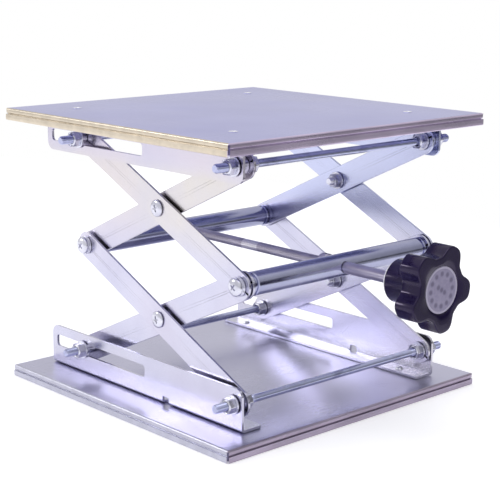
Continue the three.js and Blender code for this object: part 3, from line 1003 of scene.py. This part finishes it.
AXLE_STEEL = finish("axle_steel", drawn_steel)
AXLES = ("lower_fixed", "lower_sliding", "upper_fixed", "upper_sliding")

for name in AXLES:
    node = name + "_axle"
    low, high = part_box(node)
    half = (high.x - low.x) / 2
    end = [
        (half - THREADED - 0.8 * MM, ROD),
        *thread_rows(half - THREADED, half - ROD_CHAMFER, THREAD_CREST, AXLE_PITCH),
        (half, THREAD_CREST - ROD_CHAMFER), (half, 0),
    ]
    stations = [(-height, reach) for height, reach in end[::-1]] + end
    rod = turned(stations, 24, thread_shape(THREAD_CREST, AXLE_PITCH, AXLE_THREAD))
    stands_for(piece("threaded_" + node, moved(rod, middle(node), ALONG_X[1]), AXLE_STEEL), node)


# ---------------------------------------------------------------------------------------------
# Nuts and washers. M5 hexagon nuts, 8 mm across the flats and chamfered on both faces, on
# stamped washers. The nuts on the screws where the arms cross are lock nuts with a collar.

NUT_FLATS = 8 * MM
WASHER_RADIUS = 5.4 * MM
WASHER_HOLE = 2.75 * MM
WASHER_SHEET = 0.95 * MM
LOCK_COLLAR = 1.3 * MM
LOCK_RADIUS = 3.55 * MM
LOCK_BEND = 0.7 * MM
LOCK_BORE = 2.55 * MM
CHAMFER_SLOPE = 0.55
BETWEEN_RADIUS = 5 * MM
BETWEEN_SHEET = 1.3 * MM
PLAY = 0.1 * MM


def hexagon(height, angle, radius):
    """Keeps what is wider than the hexagon within its flats."""
    from_flat = (angle + math.pi / 6) % (math.pi / 3) - math.pi / 6
    return min(radius, NUT_FLATS / 2 / math.cos(from_flat))


def nut_body(height, collar):
    """A nut that stands on z = 0. collar is the height of its locking collar, or 0."""
    corner = NUT_FLATS / math.sqrt(3)
    top = height - collar
    rims = [(corner - NUT_FLATS / 2 * 0.94) * part for part in (1, 0.75, 0.5, 0.25, 0)]
    lower = [(CHAMFER_SLOPE * rim, corner - rim) for rim in rims]
    upper = [(top - drop, reach) for drop, reach in lower[::-1]]
    crown = [(top, WASHER_HOLE)]
    if collar:
        crown = [
            (top, LOCK_RADIUS),
            *rounded(height - LOCK_BEND, LOCK_RADIUS - 0.75 * MM, LOCK_BEND, 0, 90),
            (height, LOCK_BORE),
        ]
    inside = crown[-1][1]
    stations = [(0.3 * MM, inside), (0, inside + 0.25 * MM), *lower, *upper, *crown]
    return turned([*stations, (height - 0.3 * MM, inside), stations[0]], 72, hexagon)


def flat_ring(thickness, outer, inner, edge):
    return turned(
        [
            (0, inner), (0, outer - edge), (edge, outer), (thickness - edge, outer),
            (thickness, outer - edge), (thickness, inner), (0, inner),
        ],
        48,
    )


def washer(name, body_name, inside, sign, place, outer=WASHER_RADIUS, thickness=WASHER_SHEET):
    """A stamped washer from inside, its distance from the middle, outward."""
    ring = flat_ring(thickness, outer, WASHER_HOLE, 0.18 * MM)
    ring = moved(ring, (sign * inside, place.y, place.z), ALONG_X[sign])
    return belongs(piece(name, ring, FASTENER), body_name)


for name in AXLES:
    fixed = name.endswith("fixed")
    for side, sign in (("left", -1), ("right", 1)):
        for kind in ("outer", "inner"):
            node = f"{name}_{kind}_nut_{side}"
            low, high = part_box(node)
            centre = middle(node)
            thick = high.x - low.x
            inside = abs(centre.x) - thick / 2
            body = moved(nut_body(thick, 0), (sign * inside, centre.y, centre.z), ALONG_X[sign])
            stands_for(piece("chamfered_" + node, body, FASTENER), node)
            gap = inside - WASHER_SHEET if kind == "outer" else inside + thick
            washer(f"washer_{name}_{kind}_{side}", RIDES_ON[node], gap, sign, centre)
        node = f"{name}_{'spacer' if fixed else 'bush'}_{side}"
        low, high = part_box(node)
        centre = middle(node)
        thick = high.x - low.x
        sleeve = flat_ring(thick, (high.z - low.z) / 2, WASHER_HOLE - 0.1 * MM, 0.25 * MM)
        place = (centre.x - sign * thick / 2, centre.y, centre.z)
        made = piece("turned_" + node, moved(sleeve, place, ALONG_X[sign]), FASTENER)
        stands_for(made, node)

for stage in ("lower", "upper"):
    for side, sign in (("left", -1), ("right", 1)):
        node = f"{stage}_cross_nut_{side}"
        low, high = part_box(node)
        centre = middle(node)
        thick = high.x - low.x
        place = (centre.x + sign * thick / 2, centre.y, centre.z)
        body = moved(nut_body(thick, LOCK_COLLAR), place, ALONG_X[-sign])
        stands_for(piece("lock_" + node, body, FASTENER), node)
        outside = abs(centre.x) + thick / 2
        washer(f"washer_{stage}_cross_inner_{side}", RIDES_ON[node], outside, sign, centre)
        arm_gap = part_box(f"{stage}_inner_arm_right")[1].x
        washer(
            f"washer_{stage}_cross_between_{side}", RIDES_ON[node], arm_gap + PLAY, sign, centre,
            BETWEEN_RADIUS, BETWEEN_SHEET,
        )


# ---------------------------------------------------------------------------------------------
# Screws. Round-headed M5 screws with a cross recess: four join the arms where they cross, and
# four hold the crossbars' ends, each on two washers.

RIM_PART = 0.3
RECESS_REACH = 2.3 * MM
RECESS_WIDTH = 0.95 * MM
RECESS_DEPTH = 1.5 * MM
SCREW_CREST = 2.45 * MM
WASHER_STEP = 1 * MM
HEAD_HEIGHTS = {"cross": 1.8 * MM, "bar": 2.6 * MM}
RECESS_TURNS = {"cross": 0.3, "bar": 0.9}


def screw_body(head_radius, head_height, shank):
    """A screw with its head's underside on z = 0, the head above it and the shank below."""
    rim = RIM_PART * head_height
    crown = head_height - rim
    stations = [(head_height, 0)]
    for degrees in (80, 65, 50, 35, 20, 8, 0):
        angle = math.radians(degrees)
        stations.append((rim + crown * math.sin(angle), head_radius * math.cos(angle)))
    stations += [(0.25 * MM, head_radius), (0, head_radius - 0.25 * MM), (0, SCREW_CREST - 0.3 * MM)]
    thread = thread_rows(-shank + 0.5 * MM, -0.8 * MM, SCREW_CREST, AXLE_PITCH)[::-1]
    stations += [*thread, (-shank, SCREW_CREST - 0.5 * MM), (-shank, 0)]
    screw = turned(stations, 40, thread_shape(SCREW_CREST, AXLE_PITCH, AXLE_THREAD))
    for turn in (0, quarter):
        mouth = [
            (x * RECESS_REACH * wide, y * RECESS_WIDTH / 2, head_height + z)
            for x in (-1, 1) for y in (-1, 1) for wide, z in ((1.15, 0.4 * MM), (0.35, -RECESS_DEPTH))
        ]
        wedge = hull(mouth)
        bmesh.ops.rotate(wedge, verts=wedge.verts, matrix=Matrix.Rotation(turn, 3, "Z"))
        screw = carved(screw, wedge)
    return screw


def screws(nodes):
    """Like screws on several nodes, with their heads outward."""
    kind = nodes[0].split("_")[1]
    head = HEAD_HEIGHTS[kind]
    spin = Matrix.Rotation(RECESS_TURNS[kind], 4, "Z")
    low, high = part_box(nodes[0])
    head_radius = (high.z - low.z) / 2
    pattern = None
    for node in nodes:
        low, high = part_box(node)
        centre = middle(node)
        sign = 1 if centre.x > 0 else -1
        outside = high.x if sign > 0 else -low.x
        inside = low.x if sign > 0 else -high.x
        if pattern is None:
            pattern = screw_body(head_radius, head, outside - head - inside)
        place = (sign * (outside - head), centre.y, centre.z)
        body = moved(pattern.copy(), place, ALONG_X[sign] @ spin)
        stands_for(piece("cross_recess_" + node, body, FASTENER), node)
    pattern.free()


sides = ("left", "right")
screws([f"{stage}_cross_screw_{side}" for stage in ("lower", "upper") for side in sides])
screws([f"{bar}_bar_screw_{side}" for bar in ("front", "rear") for side in sides])

for bar in ("front", "rear"):
    for side, sign in (("left", -1), ("right", 1)):
        node = f"{bar}_bar_screw_{side}"
        centre = middle(node)
        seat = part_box(f"{bar}_bar_screw_right")[1].x - HEAD_HEIGHTS["bar"]
        for number in (1, 2):
            inside = seat - number * WASHER_STEP
            washer(f"washer_{bar}_bar_{number}_{side}", RIDES_ON[node], inside, sign, centre)
        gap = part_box("lower_inner_arm_right")[1].x + PLAY
        washer(
            f"washer_{bar}_bar_between_{side}", RIDES_ON[node], gap, sign, centre,
            BETWEEN_RADIUS, BETWEEN_SHEET,
        )


# ---------------------------------------------------------------------------------------------
# Studio. A wide white floor and an even white surround, which is darker low down at the front
# right, and two softboxes. The camera looks down a little on the corner left of the knob.

AZIMUTH = math.radians(-42.547)
ELEVATION = math.radians(12.495)
ROLL = math.radians(0.353)
STAND = Vector((-0.5347, -0.5894, 0.2581))
FOCAL_LENGTH = 97.447
FLOOR_REACH = 0.9
FLOOR_SHEET = 0.1 * MM
FLOOR_CENTRE = (-0.38, 0.42)

back_way = Vector((
    math.sin(AZIMUTH) * math.cos(ELEVATION),
    -math.cos(AZIMUTH) * math.cos(ELEVATION),
    math.sin(ELEVATION),
))
right_way = Vector((0, 0, 1)).cross(back_way).normalized()
up_way = back_way.cross(right_way)
rolled_right = math.cos(ROLL) * right_way + math.sin(ROLL) * up_way
rolled_up = math.cos(ROLL) * up_way - math.sin(ROLL) * right_way
camera_data = bpy.data.cameras.new("camera")
camera_data.lens = FOCAL_LENGTH
camera_data.sensor_width = 36
camera_data.clip_end = 100
camera = bpy.data.objects.new("camera", camera_data)
facing = Matrix((rolled_right, rolled_up, back_way)).transposed().to_4x4()
camera.matrix_world = Matrix.Translation(Vector((0, PLATE_Y, 0)) + STAND) @ facing
bpy.context.scene.collection.objects.link(camera)
bpy.context.scene.camera = camera


def floor_paint(place):
    """Seamless white studio floor."""
    return {
        "Base Color": (0.88, 0.88, 0.9, 1),
        "Roughness": 0.75,
        "Emission Color": (1, 1, 1, 1),
        "Emission Strength": 0.32,
    }


floor_body = turned([(-FLOOR_SHEET, 0), (-FLOOR_SHEET, FLOOR_REACH), (0, FLOOR_REACH), (0, 0)], 96)
floor_body = moved(floor_body, (*FLOOR_CENTRE, cad_box[0].z))
floor_piece = piece("floor", floor_body, finish("floor_paint", floor_paint))
floor_piece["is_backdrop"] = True

world = bpy.data.worlds.new("surround")
world.use_nodes = True
tree = world.node_tree
tree.nodes.clear()
way = Field(tree).node("ShaderNodeTexCoord", {}, {}, "Generated")
x, y, z = (way.along(axis) for axis in "XYZ")
front_right = (x * 0.68 - y * 0.73).step(0.05, 0.75)
low_band = 1 - z.size().step(0.03, 0.16)
overhead = z.step(0.3, 0.9)
glow = 0.8 + overhead * 0.15 - front_right * (0.3 * (1 - overhead) + 0.42 * low_band)
seen = way.node("ShaderNodeLightPath", {}, {}, "Is Camera Ray")
strength = seen.node("ShaderNodeMix", {"data_type": "FLOAT"}, {0: seen, 2: glow, 3: 1.0})
backdrop = strength.node(
    "ShaderNodeBackground", {}, {"Color": (1, 1, 1, 1), "Strength": strength},
)
out = tree.nodes.new("ShaderNodeOutputWorld")
tree.links.new(backdrop.socket, out.inputs["Surface"])
bpy.context.scene.world = world
bpy.context.scene.view_settings.view_transform = "Standard"

for name, place, size, power in (
    ("softbox_back_left", (-1.30, 1.46, 0.84), (0.5, 0.34), 4.3),
    ("softbox_over", (-0.5, -0.3, 2.4), (1.6, 1.6), 12),
):
    lamp_data = bpy.data.lights.new(name, "AREA")
    lamp_data.shape = "RECTANGLE"
    lamp_data.size, lamp_data.size_y = size
    lamp_data.energy = power
    lamp = bpy.data.objects.new(name, lamp_data)
    aim = Vector((0, PLATE_Y, 0.09)) - Vector(place)
    lamp.rotation_euler = aim.to_track_quat("-Z", "Y").to_euler()
    lamp.location = place
    bpy.context.scene.collection.objects.link(lamp)


# ---------------------------------------------------------------------------------------------
# The sizes of the imported model and of this one.

low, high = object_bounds()
